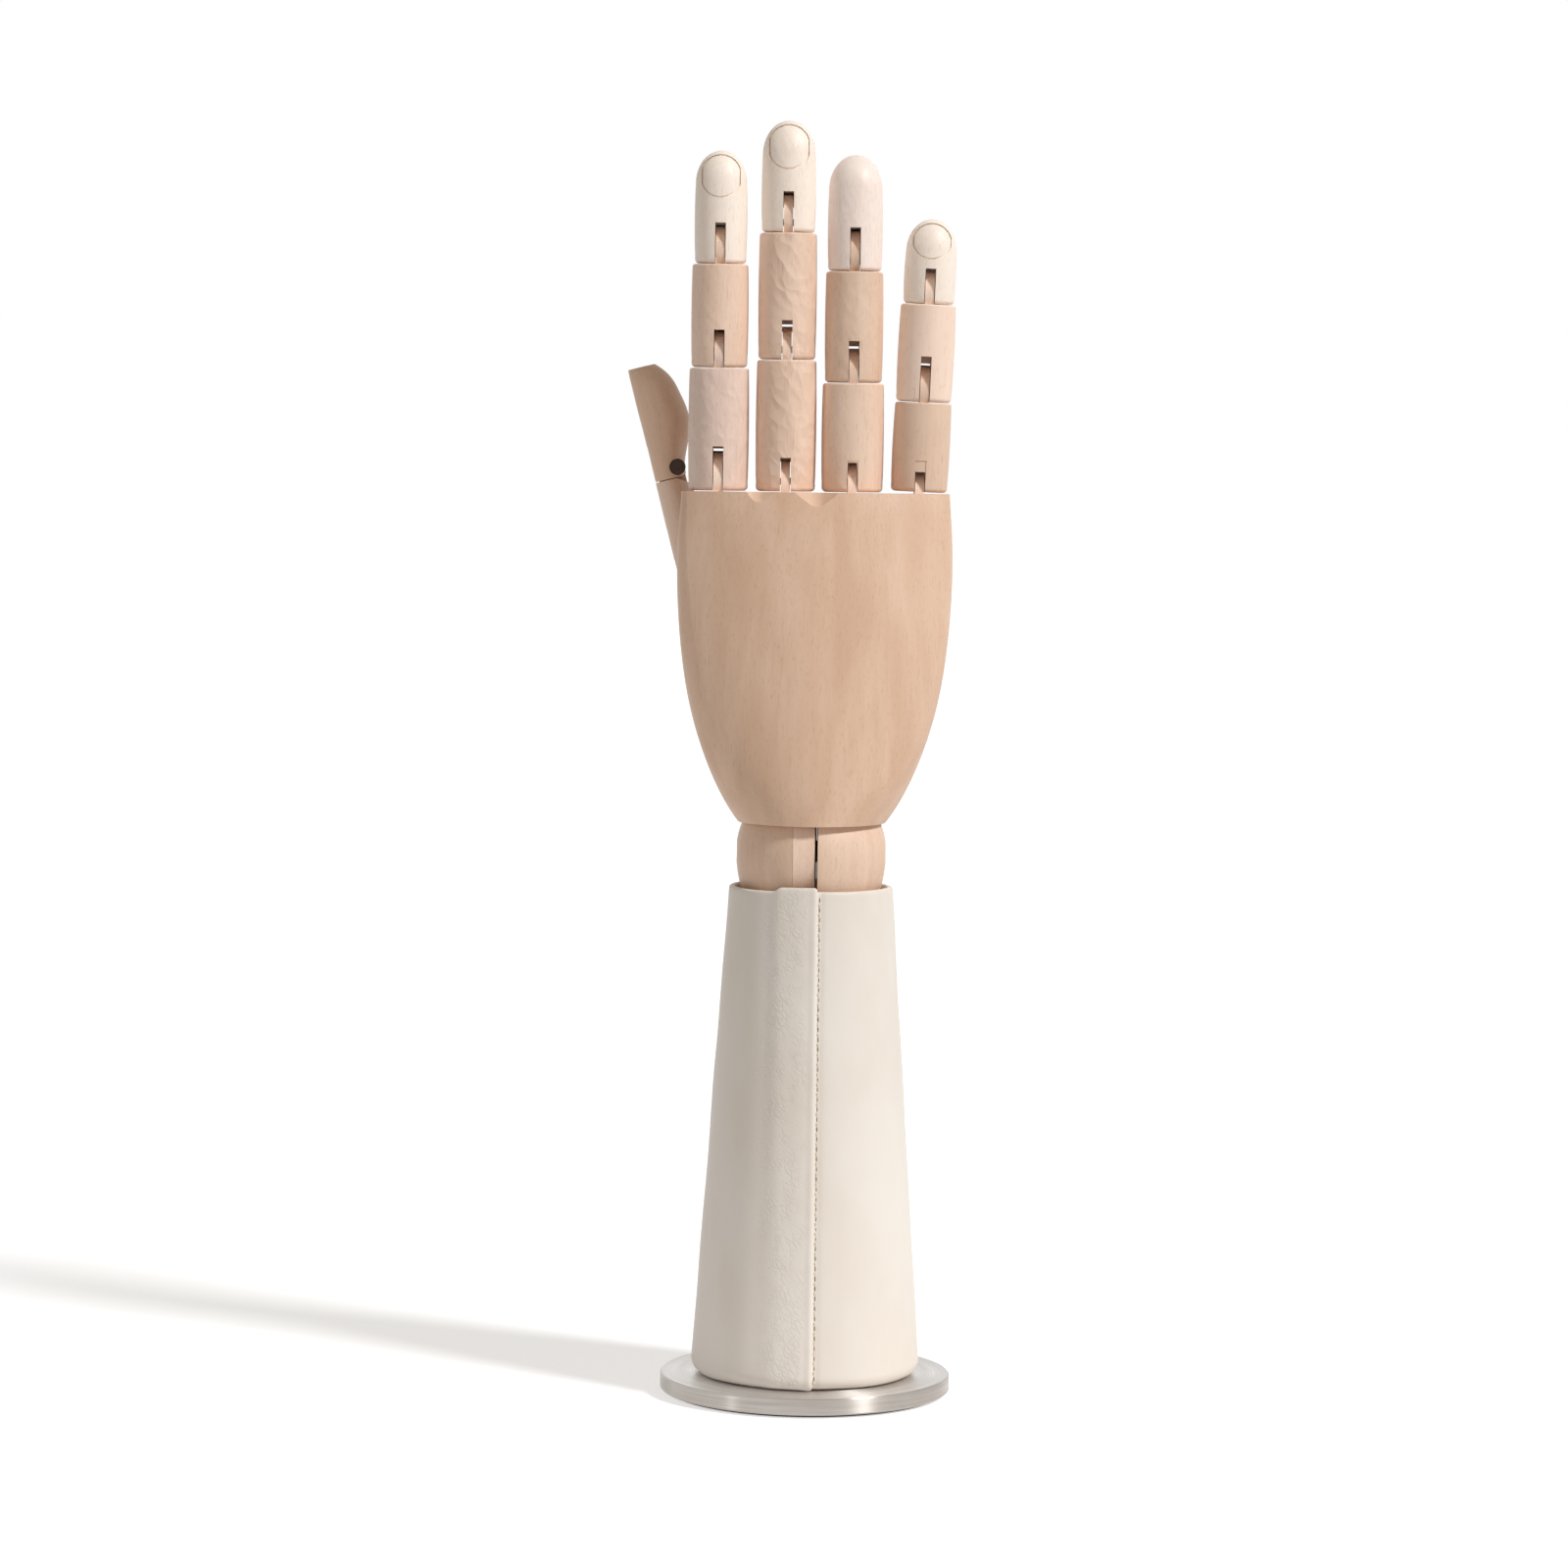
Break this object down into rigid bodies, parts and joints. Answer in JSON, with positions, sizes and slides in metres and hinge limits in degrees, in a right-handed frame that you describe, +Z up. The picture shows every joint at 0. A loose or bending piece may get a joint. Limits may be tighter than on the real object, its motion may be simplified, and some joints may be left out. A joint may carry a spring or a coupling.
{
  "type": "wooden hand mannequin",
  "caption": "Jointed wooden hand mannequin with pinned fingers and thumb, on a tapered cream leatherette forearm and a round steel base.",
  "frame": {"origin": "middle of the flat underside of the base pad", "axes": "+Z up along the forearm, -Y out of the back of the hand, +X towards the little finger, so the thumb is at -X"},
  "size_m": [0.1155, 0.1, 0.4363],
  "materials": {
    "pad": "dull black",
    "plate": "brushed",
    "fastener": "bright zinc",
    "core_wood": "plain turned",
    "sleeve": "smooth cream, fine grain",
    "wrist_wood": "fine sanded, unvarnished",
    "wrist_pin": "end grain",
    "palm_wood": "fine sanded, unvarnished",
    "finger_wood": "fine sanded, unvarnished",
    "tongue_wood": "fine sanded, unvarnished",
    "pin_steel": "plain",
    "dark_steel": "blackened"
  },
  "bodies": {
    "forearm": {"base_pad": "pad", "base_plate": "plate", "base_screws": "fastener", "forearm_core": "core_wood", "sleeve": "sleeve", "wrist_washer": "fastener"},
    "wrist": {"wrist_ball": "wrist_wood", "wrist_bolt": "fastener", "wrist_pin": "wrist_pin"},
    "hand": {"palm": "palm_wood", "wrist_tongue": "tongue_wood", "thumb_swivel_screw": "dark_steel", "index_knuckle_tongue": "tongue_wood", "middle_knuckle_tongue": "tongue_wood", "ring_knuckle_tongue": "tongue_wood", "little_knuckle_tongue": "tongue_wood"},
    "thumb_base": {"thumb_base": "finger_wood"},
    "thumb_proximal": {"thumb_proximal": "finger_wood", "thumb_proximal_screw": "dark_steel"},
    "thumb_distal": {"thumb_distal": "finger_wood", "thumb_distal_screw": "dark_steel"},
    "index_proximal": {"index_proximal": "finger_wood", "index_proximal_pin": "pin_steel"},
    "index_middle": {"index_middle": "finger_wood", "index_middle_pin": "pin_steel"},
    "index_distal": {"index_distal": "finger_wood", "index_distal_pin": "pin_steel"},
    "middle_proximal": {"middle_proximal": "finger_wood", "middle_proximal_pin": "pin_steel"},
    "middle_middle": {"middle_middle": "finger_wood", "middle_middle_pin": "pin_steel"},
    "middle_distal": {"middle_distal": "finger_wood", "middle_distal_pin": "pin_steel"},
    "ring_proximal": {"ring_proximal": "finger_wood", "ring_proximal_pin": "pin_steel"},
    "ring_middle": {"ring_middle": "finger_wood", "ring_middle_pin": "pin_steel"},
    "ring_distal": {"ring_distal": "finger_wood", "ring_distal_pin": "pin_steel"},
    "little_proximal": {"little_proximal": "finger_wood", "little_proximal_pin": "pin_steel"},
    "little_middle": {"little_middle": "finger_wood", "little_middle_pin": "pin_steel"},
    "little_distal": {"little_distal": "finger_wood", "little_distal_pin": "pin_steel"}
  },
  "joints": [
    {"name": "wrist_turn", "type": "hinge", "parent": "forearm", "child": "wrist", "pos_m": [0, 0, 0.1872], "axis": [0, 0, 1], "range_deg": [-90, 90]},
    {"name": "wrist_bend", "type": "hinge", "parent": "wrist", "child": "hand", "pos_m": [0, 0, 0.1872], "axis": [-1, 0, 0], "range_deg": [-35, 35]},
    {"name": "index_proximal_bend", "type": "hinge", "parent": "hand", "child": "index_proximal", "pos_m": [-0.0334, 0, 0.3139], "axis": [-1, 0, 0], "range_deg": [0, 70]},
    {"name": "index_middle_bend", "type": "hinge", "parent": "index_proximal", "child": "index_middle", "pos_m": [-0.0334, 0, 0.3558], "axis": [-1, 0, 0], "range_deg": [0, 70]},
    {"name": "index_distal_bend", "type": "hinge", "parent": "index_middle", "child": "index_distal", "pos_m": [-0.0334, 0, 0.391], "axis": [-1, 0, 0], "range_deg": [0, 70]},
    {"name": "middle_proximal_bend", "type": "hinge", "parent": "hand", "child": "middle_proximal", "pos_m": [-0.0104, 0, 0.3139], "axis": [-1, 0, 0], "range_deg": [0, 70]},
    {"name": "middle_middle_bend", "type": "hinge", "parent": "middle_proximal", "child": "middle_middle", "pos_m": [-0.0104, 0, 0.3587], "axis": [-1, 0, 0], "range_deg": [0, 70]},
    {"name": "middle_distal_bend", "type": "hinge", "parent": "middle_middle", "child": "middle_distal", "pos_m": [-0.0104, 0, 0.4018], "axis": [-1, 0, 0], "range_deg": [0, 70]},
    {"name": "ring_proximal_bend", "type": "hinge", "parent": "hand", "child": "ring_proximal", "pos_m": [0.0124, 0, 0.3139], "axis": [-1, 0, 0], "range_deg": [0, 70]},
    {"name": "ring_middle_bend", "type": "hinge", "parent": "ring_proximal", "child": "ring_middle", "pos_m": [0.0124, 0, 0.3511], "axis": [-1, 0, 0], "range_deg": [0, 70]},
    {"name": "ring_distal_bend", "type": "hinge", "parent": "ring_middle", "child": "ring_distal", "pos_m": [0.0124, 0, 0.389], "axis": [-1, 0, 0], "range_deg": [0, 70]},
    {"name": "little_proximal_bend", "type": "hinge", "parent": "hand", "child": "little_proximal", "pos_m": [0.03536, 0, 0.31427], "axis": [-0.9993, 0, 0.0384], "range_deg": [0, 70]},
    {"name": "little_middle_bend", "type": "hinge", "parent": "little_proximal", "child": "little_middle", "pos_m": [0.03653, 0, 0.34487], "axis": [-0.9993, 0, 0.0384], "range_deg": [0, 70]},
    {"name": "little_distal_bend", "type": "hinge", "parent": "little_middle", "child": "little_distal", "pos_m": [0.03781, 0, 0.37815], "axis": [-0.9993, 0, 0.0384], "range_deg": [0, 70]},
    {"name": "thumb_swivel", "type": "hinge", "parent": "hand", "child": "thumb_base", "pos_m": [-0.02443, 0.0285, 0.2509], "axis": [0, -1, 0], "range_deg": [-20, 35]},
    {"name": "thumb_proximal_bend", "type": "hinge", "parent": "thumb_base", "child": "thumb_proximal", "pos_m": [-0.0373, 0.0285, 0.27932], "axis": [0, -1, 0], "range_deg": [-70, 0]},
    {"name": "thumb_distal_bend", "type": "hinge", "parent": "thumb_proximal", "child": "thumb_distal", "pos_m": [-0.04779, 0.0285, 0.31834], "axis": [0, -1, 0], "range_deg": [-70, 0]}
  ]
}
